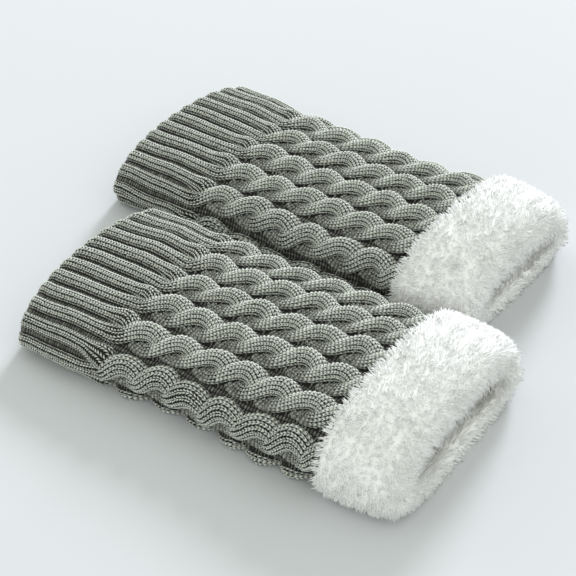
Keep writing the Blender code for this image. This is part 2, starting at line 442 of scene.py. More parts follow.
# %% [markdown]
# ## Shader maths in plain Python
#
# Node trees are easier to read as sums. This class wraps a socket, so that `1 - mask` or `a * b`
# adds the Math node that it says. Colours go through Mix nodes, because Math turns them grey.


# %% A socket with operators
class Socket:
    """A node's output in a tree, with + - * and a smooth step."""

    def __init__(self, tree, socket):
        self.tree = tree
        self.socket = socket

    def _math(self, operation, first, second):
        return node(self.tree, "ShaderNodeMath", {"operation": operation}, {0: first, 1: second})

    def __add__(self, other):
        return self._math("ADD", self, other)

    def __sub__(self, other):
        return self._math("SUBTRACT", self, other)

    def __rsub__(self, other):
        return self._math("SUBTRACT", other, self)

    def __mul__(self, other):
        return self._math("MULTIPLY", self, other)

    def back_and_forth(self, scale):
        """Up to scale and back to 0, again and again."""
        return self._math("PINGPONG", self, scale)

    def smooth(self, low, high):
        """0 below low, 1 above high."""
        return node(self.tree, "ShaderNodeMapRange", {"interpolation_type": "SMOOTHSTEP"},
                    {0: self, 1: low, 2: high})

    __radd__ = __add__
    __rmul__ = __mul__


print("besides + - *, a socket has", [key for key in vars(Socket) if not key.startswith("_")])


# %% Nodes by name
def node(tree, kind, settings=None, inputs=None, output=0):
    """Adds a node: its settings first, then the values or links of its sockets."""
    made = tree.nodes.new(kind)
    for key, value in (settings or {}).items():
        setattr(made, key, value)
    for key, value in (inputs or {}).items():
        if isinstance(value, Socket):
            tree.links.new(value.socket, made.inputs[key])
        else:
            made.inputs[key].default_value = value
    return Socket(tree, made.outputs[output])


def mixed(tree, share, first, second):
    """A colour between two colours, given as sockets or as (r, g, b)."""
    first, second = ((*c, 1.0) if isinstance(c, tuple) else c for c in (first, second))
    return node(tree, "ShaderNodeMix", {"data_type": "RGBA"},
                {0: share, 6: first, 7: second}, output=2)


def noise(tree, where, scale, detail):
    return node(tree, "ShaderNodeTexNoise", {}, {"Vector": where, "Scale": scale,
                                                 "Detail": detail})


def object_place(tree):
    return node(tree, "ShaderNodeTexCoord", output=3)


def number(tree, key):
    """A number that make_piece has put on the points."""
    return node(tree, "ShaderNodeAttribute", {"attribute_name": key}, output=2)


def finish(name, constants):
    """A new material's tree and its Principled shader, with the constants set on it."""
    material = bpy.data.materials.new(name)
    material.use_nodes = True
    tree = material.node_tree
    shader = tree.nodes["Principled BSDF"]
    for key, value in constants.items():
        shader.inputs[key].default_value = value
    return material, tree, shader


def bumped(tree, shader, height, strength, distance):
    """Feeds a height to the shader's Normal through a Bump node."""
    bump = node(tree, "ShaderNodeBump", {}, {"Strength": strength, "Distance": distance,
                                             "Height": height})
    tree.links.new(bump.socket, shader.inputs["Normal"])


# %% [markdown]
# ## Yarn
#
# The yarn is a soft grey with a green cast, never one grey: the stitches carry a number that holds
# the light and shade painted on them and a little random tone, and a fine noise adds the heather.
# A picture of yarn could be wrapped round each stitch, but at this size two mixed colours, a lit
# and a shaded one, look the same. Between the stitches it is painted nearly black, as shade.

# %% Yarn of the raised stitches
# the yarn's colour lit and in shade: painted light at the light end, painted shade at the dark end
YARN_LIT = (0.76, 0.785, 0.71)
YARN_SHADED = (0.026, 0.022, 0.017)
HEATHER = (900.0, 3.0)  # scale and detail of the noise in the yarn
HEATHER_SHARE = 0.3
FIBRES = (2600.0, 2.0)
FIBRE_BUMP = (0.5, 0.0002)  # strength, and depth in metres


def yarn_finish():
    """The number with painted light and shade sets the yarn between its lit and its shaded colour,
    and noise its heather and fibres.
    """
    material, tree, shader = finish("yarn", {"Roughness": 0.85, "Sheen Weight": 0.25,
                                             "Sheen Roughness": 0.5})
    where = object_place(tree)
    heather = noise(tree, where, *HEATHER)
    # the number on the points is painted light and shade with some random tone; noise adds the
    # heather
    tone = (number(tree, "shade") + (heather - 0.5) * HEATHER_SHARE).smooth(0.0, 1.0)
    color = mixed(tree, tone, YARN_SHADED, YARN_LIT)
    tree.links.new(color.socket, shader.inputs["Base Color"])
    bumped(tree, shader, noise(tree, where, *FIBRES), *FIBRE_BUMP)
    return material


YARN = yarn_finish()
print("made", YARN.name, "with", len(YARN.node_tree.nodes), "nodes")

# %% Fabric under the stitches
# near-black painted shade, for the holes between stitches and between drawn legs
HOLE_SHADE = (0.010, 0.009, 0.007)
V_SLOPE = 1.1  # how steeply a drawn stitch's two legs rise
V_EDGES = (0.04, 0.3)  # how far a leg's side slopes, in rows
WALE_EDGES = (0.02, 0.14)  # and a wale's, in wales
V_TONE = (0.5, 0.55)  # the heather's part of a leg's tone, and the rest
V_BUMP = (1.0, 0.0012)


def on_map(tree, output):
    """The place on the UV map: output 0 counts wales, and output 1 counts rows."""
    uv = node(tree, "ShaderNodeUVMap", {"uv_map": "UVMap"})
    return node(tree, "ShaderNodeSeparateXYZ", {}, {0: uv}, output)


def fabric_finish():
    """The fabric under the stitches, and the plain knitting of the underside.

    A drawn V is the height |across from the wale's middle| against the way along the row.
    The number `covered` fades it out where real stitches lie over it; there, and between the drawn
    legs, the fabric is painted near-black, as the shade in the holes.
    """
    material, tree, shader = finish("fabric", {"Roughness": 0.95, "Sheen Weight": 0.1})
    wale = on_map(tree, 0).back_and_forth(0.5)
    leg = (on_map(tree, 1) - wale * V_SLOPE).back_and_forth(0.5)
    height = leg.smooth(*V_EDGES) * wale.smooth(*WALE_EDGES)
    plain = 1.0 - number(tree, "covered")
    heather = noise(tree, object_place(tree), *HEATHER)
    # drawn legs in the lit yarn colour with painted shade between them; under real stitches, only
    # painted shade
    stitch = mixed(tree, height * (heather * V_TONE[0] + V_TONE[1]), HOLE_SHADE, YARN_LIT)
    color = mixed(tree, plain, HOLE_SHADE, stitch)
    tree.links.new(color.socket, shader.inputs["Base Color"])
    bumped(tree, shader, height * plain, *V_BUMP)
    return material


FABRIC = fabric_finish()
print("made", FABRIC.name, "with", len(FABRIC.node_tree.nodes), "nodes")

# %% [markdown]
# ## Plush
#
# Plush is white at its tips and painted greyer and warmer near its roots, as the shade low in the
# pile; the number `tip` tells how far out a point is. White fibres pass light on to each other.
# Scattering under the surface only darkens cones as thin as these, so a weak glow stands for it as
# painted light, and is weaker inside the mouth, where the colour is painted darker too, as shade.

# %% Plush of the cuffs and the linings
BLOTCHES = (60.0, 2.0)  # scale and detail of the wide and the fine noise
FINE_PILE = (700.0, 2.0)
BLOTCH_SHARE = 0.3
PILE_BUMP = (0.6, 0.0008)
# painted light: a weak white glow for light passed between fibres, and a weaker glow in the mouth
GLOW, GLOW_MOUTH_SHADE = (1.0, 1.0, 0.97), (0.4, 0.4, 0.38)
# the mouth's colour, painted darker as shade
PLUSH_MOUTH_SHADE = (0.86, 0.855, 0.83)


def plush_finish(name, root, tip):
    """Root and tip colours by the number `tip`, the roots' greyer one painted shade, with soft
    blotches; in the mouth a second number paints colour and glow darker, as shade.
    """
    material, tree, shader = finish(name, {"Roughness": 0.9, "Sheen Weight": 0.1,
                                           "Sheen Roughness": 0.4, "Emission Strength": 0.04})
    where = object_place(tree)
    blotch = noise(tree, where, *BLOTCHES)
    fine = noise(tree, where, *FINE_PILE)
    share = number(tree, "tip") + (blotch - 0.5) * BLOTCH_SHARE + (fine - 0.5) * BLOTCH_SHARE
    # 1 in the mouth, where colour and glow are painted darker, as shade
    deep = number(tree, "deep")
    color = mixed(tree, share.smooth(0.0, 0.9), root, tip)
    color = mixed(tree, deep, color, PLUSH_MOUTH_SHADE)
    glow = mixed(tree, deep, GLOW, GLOW_MOUTH_SHADE)
    tree.links.new(color.socket, shader.inputs["Base Color"])
    tree.links.new(glow.socket, shader.inputs["Emission Color"])
    bumped(tree, shader, fine, *PILE_BUMP)
    return material


# root colour, greyer as painted shade in the pile, then the tips' colour
CUFF_PLUSH = plush_finish("cuff_plush", (0.955, 0.953, 0.94), (0.97, 0.968, 0.962))
LINING_PLUSH = plush_finish("lining_plush", (0.84, 0.835, 0.80), (0.94, 0.94, 0.93))
print("made", CUFF_PLUSH.name, "and", LINING_PLUSH.name)

# %% [markdown]
# ## The knitted tube under the stitches
#
# The stitches lie on a closed shell with the cables' relief outside and a plain wall inside. It
# is a little lower than they are, and painted nearly black, as the shade in the holes between
# them.
# On the flat underside there are no stitches of yarn, and the material draws them instead, with
# painted shade between their legs.

# %% Knitted tubes
WALE = 2.1  # width of a stitch
ROW = 1.75  # height of a stitch
CABLE_WIDTH = 21.0  # about, for counting wales
UNDER_STITCHES = 0.6  # how far the shell lies under the stitches' middles
TOP_STEPS, UNDER_STEPS = 20, 8  # columns of points for each cable
SHELL_ROW = 1.65  # distance of its rows outside
INNER_ROWS = (KNIT_END, 67.0, 30.0, 0.0, -33.0, -66.0, -95.0, -119.0, RIB_EDGE)
STITCHED_TO = (FINE_CABLES + 0.2, FINE_CABLES + 0.4)  # cables over which the yarn ends


def places_round():
    """Places round the tube in cables, closer on the raised cables than underneath."""
    fine = np.arange(FINE_CABLES * TOP_STEPS) / TOP_STEPS
    plain = FINE_CABLES + np.arange((CABLES - FINE_CABLES) * UNDER_STEPS) / UNDER_STEPS
    return np.concatenate([fine, plain])


def knit_shell(name, tube):
    """Rows from the ribbed edge to the hidden end outside, and back along the inner wall."""
    cables = places_round()
    outer = np.concatenate([np.arange(RIB_EDGE, RELIEF_FADE[1] + 1.0, SHELL_ROW), [KNIT_END]])
    inner = np.array(INNER_ROWS)
    rise = relief(cables[None, :], outer[:, None])
    rise = np.maximum(rise - UNDER_STITCHES, 0.0)
    shell = tube.place(outer[:, None], cables[None, :], 0.0, rise)
    wall = tube.place(inner[:, None], cables[None, :], -KNIT_WALL)
    points = np.concatenate([shell, wall]).reshape(-1, 3)
    lengths = np.concatenate([outer, inner])
    wales, rows = cables[None, :] * CABLE_WIDTH / WALE, lengths[:, None] / ROW
    uv = np.stack(np.broadcast_arrays(wales, rows), -1)
    # where stitches lie over the shell, the material paints it near-black, as the shade in their
    # holes
    covered = np.zeros((len(lengths), len(cables)))
    covered[1:len(outer)] = 1.0 - smooth(cables, *STITCHED_TO)
    piece = make_piece(f"knit_{name}", points, [ring_faces(len(lengths), len(cables))], FABRIC,
                       uv.reshape(-1, 2), {"covered": covered})
    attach(piece, "root")
    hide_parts(f"knit_tube_{name}")
    return piece


KNIT = {name: knit_shell(name, tube) for name, tube in TUBES.items()}

# %% [markdown]
# ## Real stitches
#
# In stocking stitch every stitch shows as a V of two legs, and the Vs stack in columns called
# wales. On a cable the wales follow the strand, so a leg's place is a row along the strand and
# an angle round its crown. A bump could fake the Vs, but gives no dark holes between them. So
# each leg is a closed spindle that comes out from under one V and dips under the next.


# %% Points on a strand's crown
RUN_LENGTHS = np.linspace(RIB_EDGE, RELIEF_FADE[1] + 4.0, 2000)
RUN = np.concatenate([[0.0], np.cumsum(
    np.hypot(1.0, strand(RUN_LENGTHS, 0)[2][1:]) * np.diff(RUN_LENGTHS))])


def surface(tube, cable, x, length, height):
    """A point over the fabric at x across cable number `cable`, by its own strand's height."""
    cables = cable + 0.5 + x
    return tube.place(length, cables, 0.0, height * raised(cables) * ends(length))


def strand_points(tube, cable, crown, run, which, lift):
    """Points on a strand's round crown at an angle and `run` mm along its middle line.

    Across is q = sin(crown) half widths, and the height is cos(crown) of the top. Rows are
    square to the strand: off its middle, points move on by q * half * slope / hypot(1, slope).
    """
    length = np.interp(run, RUN, RUN_LENGTHS)
    q = np.sin(crown)
    _, half, slope, _ = strand(length, which)
    pitch = tube.pitch(length)
    at = length + q * half * pitch * slope / np.hypot(1.0, slope)
    middle, half, slope, top = strand(at, which)
    x = middle + q * half * np.hypot(1.0, slope)
    height = np.cos(crown) * top
    return surface(tube, cable, x, at, height + lift), x, at, height


print(f"a strand is {RUN[-1]:.0f} mm long and has {RUN[-1] / ROW:.0f} rows")

# %% Where the legs are
RNG = np.random.default_rng(11)
WALE_PLACES = np.radians([-60.0, -40.0, -20.0, 0.0, 20.0, 40.0, 60.0])  # round the crown
IN_RIBS = np.array([1, 0, 1, 0, 1, 0, 1])  # the wales that a rib has
FIRST_ROW = 0.6  # from the ribbed edge
LEG_STEPS = np.array([0.0, 0.5, 1.0])
LEG_LENGTH = 1.5  # in rows
LEG_SPREAD = (0.03, 0.15)  # from the wale's middle, in radians, at a leg's two ends
SPREAD_POWER = 0.8
LEG_ARC = (-0.5, 0.7, 0.08, 0.92)  # a leg's height: base, rise, and its part of half a turn
LEG_JITTER = (0.012, 0.07, 0.05)  # in radians, along and up
HIDDEN = 0.9  # a leg this far under the other strand isn't made
PAST_EDGE = 0.4  # cables by which the stitches go past the raised ones
OFF_FLOOR = 0.6  # lower legs aren't made


def leg_lines(tube):
    """All legs of one leg warmer: centre lines, and the numbers they were made from.

    A leg climbs along its strand and away from its wale's middle. Ribs have wider wales.
    """
    rows = np.arange(FIRST_ROW, RUN[-1] - LEG_LENGTH * ROW, ROW)
    cable, which, wale, row, hand = np.meshgrid(
        np.arange(-1, FINE_CABLES + 1), (0, 1), WALE_PLACES, rows, (-1.0, 1.0), indexing="ij")
    cable, which, wale, row, hand = (a.ravel()[:, None] for a in (cable, which, wale, row, hand))
    t = LEG_STEPS[None, :]
    ribbed = 1.0 - smooth(np.interp(row, RUN, RUN_LENGTHS), CROSSING_START, CROSSING_START + 8.0)
    spread = LEG_SPREAD[0] + (LEG_SPREAD[1] - LEG_SPREAD[0]) * t**SPREAD_POWER
    turned, moved, lifted = RNG.normal(0.0, LEG_JITTER, (len(row), 3)).T[..., None]
    crown = wale + hand * (1.0 + ribbed) * spread + turned
    run = row + moved + t * LEG_LENGTH * ROW
    base, rise, first, last = LEG_ARC
    lift = base + rise * np.sin(math.pi * (first + (last - first) * t)) + lifted
    points, x, at, height = strand_points(tube, cable, crown, run, which, lift)
    seen = (height - strand_height(x, at, 1 - which))[:, 1] > -HIDDEN
    cables = (cable + 0.5 + x)[:, 1]
    seen &= (cables > -PAST_EDGE) & (cables < FINE_CABLES + PAST_EDGE)
    seen &= points[:, 1, 2] > OFF_FLOOR
    in_ribs = np.interp(wale, WALE_PLACES, IN_RIBS)[:, 0] > 0.5
    seen &= in_ribs | (ribbed[:, 0] < 0.5)
    numbers = (points, x, at, height, cable, crown, run, which, hand, ribbed)
    return [values[seen] for values in numbers]


# %% The way up from the strand
CROWN_STEP, RUN_STEP = 0.02, 0.2  # small steps, in radians and mm


def stitch_legs(tube):
    """Centre lines, up directions, sides, heights and ribs' shares of the legs.

    Up is the cross product of two small steps on the crown, turned to point outward.
    """
    points, x, at, height, cable, crown, run, which, hand, ribbed = leg_lines(tube)
    near = strand_points(tube, cable, crown - CROWN_STEP, run, which, 0.0)[0]
    far = strand_points(tube, cable, crown + CROWN_STEP, run, which, 0.0)[0]
    ahead = strand_points(tube, cable, crown, run + RUN_STEP, which, 0.0)[0]
    back = strand_points(tube, cable, crown, run - RUN_STEP, which, 0.0)[0]
    up = unit(np.cross(far - near, ahead - back))
    outward = surface(tube, cable, x, at, height + 1.0) - points
    facing = np.sign((up * outward).sum(-1, keepdims=True))
    return points, up * facing, facing[:, 1, 0] * hand[:, 0], height[:, 1], ribbed[:, 0]


print("a leg of a stitch is", LEG_LENGTH * ROW, "mm long")

# %% [markdown]
# ### Painted light and shade on one leg
#
# A stitch is two or three pixels here, so its light top and dark inner side are painted into its
# colour, as in a drawing: each point of a leg has a painted shade. Legs deep between the strands
# are painted darker, as shade.

# %% The stitches
LEG_WIDTH, LEG_HEIGHT = 0.54, 0.55
LEG_SIZES = (0.94, 1.06)
# painted light and shade at a leg's points: light on top and outside, dark inside, under and at
# the ends
LEG_LIGHT_AND_SHADE = np.array([0.7, 0.8, 1.0, 0.0, 0.0, 0.45])  # start, outside, top, inside, under, end
OTHER_HAND = [0, 3, 2, 1, 4, 5]  # the same points on the other leg of a V
# legs low on a strand are painted darker, as shade
PAINTED_SHADE_STEP = (0.3, 4.2, 1.6)  # mm up a strand where legs are dark, and light in cables, ribs
SHADE_JITTER = 0.08


def stitches(name, tube):
    """The legs as one mesh, with painted light and shade on every point."""
    centres, ups, side, height, ribbed = stitch_legs(tube)
    count = len(centres)
    size = RNG.uniform(*LEG_SIZES, (count, 1))
    points, faces, _ = spindles(centres, LEG_WIDTH * size, LEG_HEIGHT * size, ups)
    # painted light and shade by the leg's points and its height on the strand, plus random tone
    shade = np.where(side[:, None] > 0.0, LEG_LIGHT_AND_SHADE, LEG_LIGHT_AND_SHADE[OTHER_HAND])
    low, in_cables, in_ribs = PAINTED_SHADE_STEP
    lit = smooth(height, low, in_cables + (in_ribs - in_cables) * ribbed)
    shade = shade * (0.5 + 0.5 * lit)[:, None] + RNG.normal(0.0, SHADE_JITTER, (count, 1))
    piece = make_piece(f"stitches_{name}", points, faces, YARN, None,
                       {"shade": np.clip(shade, 0.0, 1.0)})
    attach(piece, "root")
    return piece


STITCHES = {name: stitches(name, tube) for name, tube in TUBES.items()}

# %% [markdown]
# ## Purl bars in the gutters
#
# Between the cables the knitting turns to purl, whose stitches show as short bars across, like
# the rungs of a ladder. They lie deep, so they are yarn like the legs, painted darker as shade.

# %% Purl bars
BAR_COLUMNS = np.arange(8) / 8.0 - 0.5  # in cables, from a cable's middle
BAR_HALF = 0.068  # half a bar's length, in cables
BAR_TOP = 1.7  # bars are where the relief is lower than this
BAR_ROWS = (RIB_EDGE + 1.2, RELIEF_FADE[1] - 2.0)
BAR_STEPS = np.array([-1.0, -0.6, 0.0, 0.6, 1.0])
BAR_BEND = 0.25  # how far a bar's ends lie ahead of its middle
BAR_LIFT, BAR_DIP = 0.1, 0.5  # height of its middle over the shell, and drop of its ends
BAR_WIDTH, BAR_HEIGHT = 0.62, 0.5
BAR_SHAPE = np.array([0.8, 1.0, 0.8])
# the bars' tone: low as painted shade, with a little random spread
BAR_TONE_AND_SHADE = (0.24, 0.06)  # mean and spread


def purl_bars(name, tube):
    """Bars across the tube, bent down at their ends, wherever no strand covers them."""
    cable, column, row = np.meshgrid(np.arange(-1, FINE_CABLES + 1), BAR_COLUMNS,
                                     np.arange(*BAR_ROWS, ROW), indexing="ij")
    cable, column, row = (a.ravel()[:, None] for a in (cable, column, row))
    t = BAR_STEPS[None, :]
    cables = cable + 0.5 + column + t * BAR_HALF
    length = row + BAR_BEND * t**2
    rise = relief(cables, length)
    middle = cables[:, 2]
    keep = (rise[:, 2] < BAR_TOP) & (middle > -PAST_EDGE) & (middle < FINE_CABLES + PAST_EDGE)
    cables, length, rise = cables[keep], length[keep], rise[keep]
    centres = tube.place(length, cables, 0.0, rise + BAR_LIFT - BAR_DIP * t**2)
    ups = tube.place(length, cables, 0.0, rise + 1.0) - tube.place(length, cables, 0.0, rise)
    shape = np.broadcast_to(BAR_SHAPE, (len(centres), len(BAR_SHAPE)))
    points, faces, each = spindles(centres, BAR_WIDTH * shape, BAR_HEIGHT * shape, ups)
    # painted shade: dark tones with a little random spread
    shade = np.clip(RNG.normal(*BAR_TONE_AND_SHADE, len(centres)), 0.0, 1.0)
    piece = make_piece(f"purl_bars_{name}", points, faces, YARN, None,
                       {"shade": np.repeat(shade, each)})
    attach(piece, "root")
    return piece


BARS = {name: purl_bars(name, tube) for name, tube in TUBES.items()}

# %% [markdown]
# ## The turned-out cuff
#
# The plush is turned out over the mouth as a thick soft roll. A cloth simulation could roll it,
# but wouldn't stop where it should. So one profile, from the cuff's edge over the lip and back
# into the mouth, is carried round the tube.

# %% The cuff's profile
CUFF_OUTSIDE = np.array((  # length, and distance out from the fabric between the cables
    (69.4, 3.6), (67.0, 9.0), (72.5, 10.5), (84.0, 10.9), (97.0, 10.6), (106.0, 8.6), (111.4, 4.4),
    (113.2, -0.6), (111.6, -6.0), (106.8, -9.6), (98.0, -10.8), (89.0, -9.4),
))
PROFILE_REACH = 3.0  # its direction is read over this far on either side, in millimetres


def profile(share):
    """The cuff's profile at shares of its way: length, out, outward direction and its way."""
    way = np.concatenate([[0.0], np.cumsum(np.hypot(*np.diff(CUFF_OUTSIDE, axis=0).T))])
    s = share * way[-1]
    before, here, after = ([np.interp(s + step, way, column) for column in CUFF_OUTSIDE.T]
                           for step in (-PROFILE_REACH, 0.0, PROFILE_REACH))
    run, climb = after[0] - before[0], after[1] - before[1]
    size = np.hypot(run, climb)
    return here[0], here[1], -climb / size, run / size, way[-1]


print(f"the profile is {profile(0.5)[-1]:.0f} mm long")

# %% The cuff's place
CUFF_WALL = 0.9  # the gap between the cuff's inner wall and the fabric
LIP_BACK = {"front": 2.0, "rear": 7.0}  # how far the lower lip is drawn back
LOWER = (-0.3, 0.5)  # the sine, downward, over which the upper lip becomes the lower
PINCH = 3.4  # how much narrower the cuff is along its near edge
LIFT = 3.0  # how far that edge is off the floor
LIFT_TOP = 30.0  # height over which the lift fades
FREE_OUT = (CUFF_WALL, 3.5)  # distances out over which the cuff is free of the knitting
FREE_LENGTH = (KNIT_END + 1.0, KNIT_END + 6.0)


def cuff_place(name, length, cables, out):
    """Points of a cuff: pinched and lifted along its near edge, its lower lip drawn back.

    What lies on the knitting isn't pinched, so it stays clear of it.
    """
    tube = TUBES[name]
    points = tube.place(length, cables, out)
    angle = tube.angle(*np.broadcast_arrays(np.asarray(length, float), cables))
    free = np.maximum(smooth(out, *FREE_OUT), smooth(length, *FREE_LENGTH))
    near = np.clip(-np.cos(angle), 0.0, 1.0) ** 2 * free
    low = smooth(-np.sin(angle), *LOWER)
    points[..., 0] -= LIP_BACK[name] * low * smooth(length, KNIT_END, MOUTH)
    points[..., 1] += PINCH * near
    points[..., 2] += LIFT * near * (1.0 - smooth(points[..., 2], 0.0, LIFT_TOP))
    return points


print(f"the front cuff's upper lip is {cuff_place('front', 110.0, 4.0, 4.0)[2]:.1f} mm up")

# %% The cuff's shell
PILE = 1.3  # depth of the pile over the cuff's shell
PROFILE_RINGS = 26
CUFF_COLUMNS = 10  # columns of points for each cable
CUFF_BACK = np.array((  # the hidden way back: length, out
    (89.0, -KNIT_WALL - CUFF_WALL), (101.0, -KNIT_WALL - CUFF_WALL),
    (101.0, CUFF_WALL), (73.0, CUFF_WALL), (70.5, CUFF_WALL + 1.0),
))
IN_MOUTH = (0.7, 0.8)  # shares of the profile's way over which the mouth begins
SHELL_TIP = 0.6  # the shell's place between the roots' colour and the tips'


def cuff_shell(name):
    """Rings along the sunken profile, and back inside it along the knitting."""
    cables = np.arange(CABLES * CUFF_COLUMNS) / CUFF_COLUMNS
    share = np.linspace(0.0, 1.0, PROFILE_RINGS)
    length, out, n_length, n_out, _ = profile(share)
    length = np.concatenate([length - PILE * n_length, CUFF_BACK[:, 0]])
    out = np.concatenate([out - PILE * n_out, CUFF_BACK[:, 1]])
    # 1 in the mouth, where the material paints shade
    deep = np.concatenate([smooth(share, *IN_MOUTH), np.zeros(len(CUFF_BACK))])
    points = cuff_place(name, length[:, None], cables[None, :], out[:, None])
    piece = make_piece(f"cuff_{name}", points.reshape(-1, 3),
                       [ring_faces(len(length), len(cables))], CUFF_PLUSH, None,
                       {"tip": np.full(len(length) * len(cables), SHELL_TIP),
                        "deep": np.repeat(deep, len(cables))})
    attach(piece, "root")
    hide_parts(f"plush_cuff_{name}")
    return piece


CUFFS = {name: cuff_shell(name) for name in TUBES}

# %% [markdown]
# ## Pile
#
# Long pile has an outline of soft points, and hair curves wouldn't reach other programs. So
# thousands of closed locks stand on the shell, each a thin cone that bends. Neighbours lean to
# a shared point, as pile does when it clumps into tufts.


# %% Locks of pile
LOCK_TAPER = 0.8  # the middle ring's size
# `tip` is low at a lock's root, where the plush is painted greyer as shade
LOCK_TIPS = [0.1, 0.1, 0.1, 0.6, 0.6, 0.6, 1.0]  # `tip` at its seven points
LOCK_QUADS = np.array([[0, 3, 4, 1], [1, 4, 5, 2], [2, 5, 3, 0]])
LOCK_TRIANGLES = np.array([[3, 6, 4], [4, 6, 5], [5, 6, 3], [0, 1, 2]])
OVER_FLOOR = 0.05  # the locks' lowest points
EVEN_LIGHT = 0.5  # how far their normals lean


def locks(roots, tips, radius, bend, outward):
    """Closed three-sided cones, root to tip, with a middle ring moved by `bend`.

    Their normals lean to `outward`, as light passed from lock to lock evens out their shading.
    """
    count = len(roots)
    axis = unit(tips - roots)
    helper = np.where(np.abs(axis[:, 2:]) > 0.8, [[1.0, 0.0, 0.0]], [[0.0, 0.0, 1.0]])
    across = unit(np.cross(axis, helper))
    up = np.cross(across, axis)
    angle = np.arange(3) * math.tau / 3.0 + RNG.uniform(0.0, math.tau, (count, 1))
    ring = (across[:, None] * np.cos(angle)[..., None] + up[:, None] * np.sin(angle)[..., None])
    middle = (roots + tips) * 0.5 + bend
    low = roots[:, None] + ring * radius[:, None, None]
    high = middle[:, None] + ring * radius[:, None, None] * LOCK_TAPER
    points = np.concatenate([low, high, tips[:, None]], 1)
    points[..., 2] = np.maximum(points[..., 2], OVER_FLOOR)
    shift = (np.arange(count) * len(LOCK_TIPS))[:, None, None]
    faces = [(LOCK_QUADS + shift).reshape(-1, 4), (LOCK_TRIANGLES + shift).reshape(-1, 3)]
    normals = np.concatenate([ring, ring, axis[:, None]], 1) + EVEN_LIGHT * outward[:, None]
    return points.reshape(-1, 3), faces, np.tile(LOCK_TIPS, count), unit(normals).reshape(-1, 3)


print("a lock has", 2 * len(LOCK_QUADS) + len(LOCK_TRIANGLES), "triangles")

# %% Where the locks stand
LOCKS = 16500
LYING = (8.4, 9.0, 11.0, 11.6)  # cables between which the cuff lies on the floor
LEFT_OUT = 0.65  # the share of locks that aren't made there
AROUND_STEP = 0.04  # a small step round the tube, in cables


def lock_roots():
    """Random places: shares of the profile's way, and places round in cables."""
    share = RNG.uniform(0.0, 1.0, LOCKS * 2)
    cables = RNG.uniform(0.0, CABLES, LOCKS * 2)
    under = smooth(cables, *LYING[:2]) * (1.0 - smooth(cables, *LYING[2:]))
    keep = np.flatnonzero(RNG.uniform(0.0, 1.0, LOCKS * 2) > LEFT_OUT * under)[:LOCKS]
    return share[keep], cables[keep]


print("of the locks under the cuff,", 1.0 - LEFT_OUT, "are made")


def directions(name, length, cables, out, n_length, n_out):
    """Unit directions on the cuff: outward, on along the profile, and round the tube.

    On is along - (along . outward) outward, turned where the profile goes back in.
    """
    here = cuff_place(name, length, cables, out)
    tops = cuff_place(name, length + n_length, cables, out + n_out)
    outward = unit(tops - cuff_place(name, length - PILE * n_length, cables, out - PILE * n_out))
    along = unit(cuff_place(name, length + 1.0, cables, out) - here)
    around = unit(cuff_place(name, length, cables + AROUND_STEP, out) - here)
    on = along - (along * outward).sum(-1, keepdims=True) * outward
    on = on * np.where(n_out < 0.0, -1.0, 1.0)[:, None]
    return outward, unit(on, 1e-6), around


# %% How the locks lean
TUFT = 5.0  # size of a tuft
CUFF_MIDDLE = 90.0  # the length where tufts are counted round the tube
TUFT_KEYS = (7919, 9973)  # primes that give every tuft a row of a random table
LEANS = (0.25, 0.6, 0.6)  # to the tuft's middle, with the tuft, and each lock's own
LEAN_ON = 0.5  # all of them, to the lip
EDGE_LEAN = 1.2  # back over the knitting, at the cuff's edge
AT_EDGE = (0.04, 0.12)  # shares of the profile's way over which the edge ends


def leans(tube, share, cables, way):
    """How far the locks lean on along the profile and round the tube, in mm."""
    inward, together, alone = LEANS
    across = cables * tube.pitch(CUFF_MIDDLE)
    cell_s = np.floor(share * way / TUFT)
    cell_c = np.floor(across / TUFT + 0.5 * cell_s)
    table = np.random.default_rng(5).normal(0.0, 1.0, (TUFT_KEYS[1], 4))
    tuft = together * table[np.mod((cell_s * TUFT_KEYS[0] + cell_c).astype(int), TUFT_KEYS[1])]
    toward_s = (cell_s + 0.5) * TUFT - share * way
    toward_c = (cell_c + 0.5 - 0.5 * cell_s) * TUFT - across
    lean_s = LEAN_ON + inward * toward_s + tuft[:, 0] + RNG.normal(0.0, alone, len(share))
    lean_c = inward * toward_c + tuft[:, 1] + RNG.normal(0.0, alone, len(share))
    return lean_s - EDGE_LEAN * (1.0 - smooth(share, *AT_EDGE)), lean_c


print("a cuff has about", round(profile(0.5)[-1] / TUFT), "rows of tufts")

# %% Pile on the cuffs
LOCK_LENGTH = (2.0, 3.8)
LOCK_RADIUS = (0.3, 0.46)
LOCK_RISE = 0.86  # the part of a lock's length that stands up
LOCK_BEND = -0.12  # its middle's part of the lean
LIP_SHARE, LIP_SPREAD = 0.585, 0.09  # where the upper lip turns down
INSIDE = (0.66, 0.78)  # shares of the profile's way over which the inside begins
LONGER = (0.6, 2.1, 0.6)  # how much longer locks are at the lip, inside and at the edge


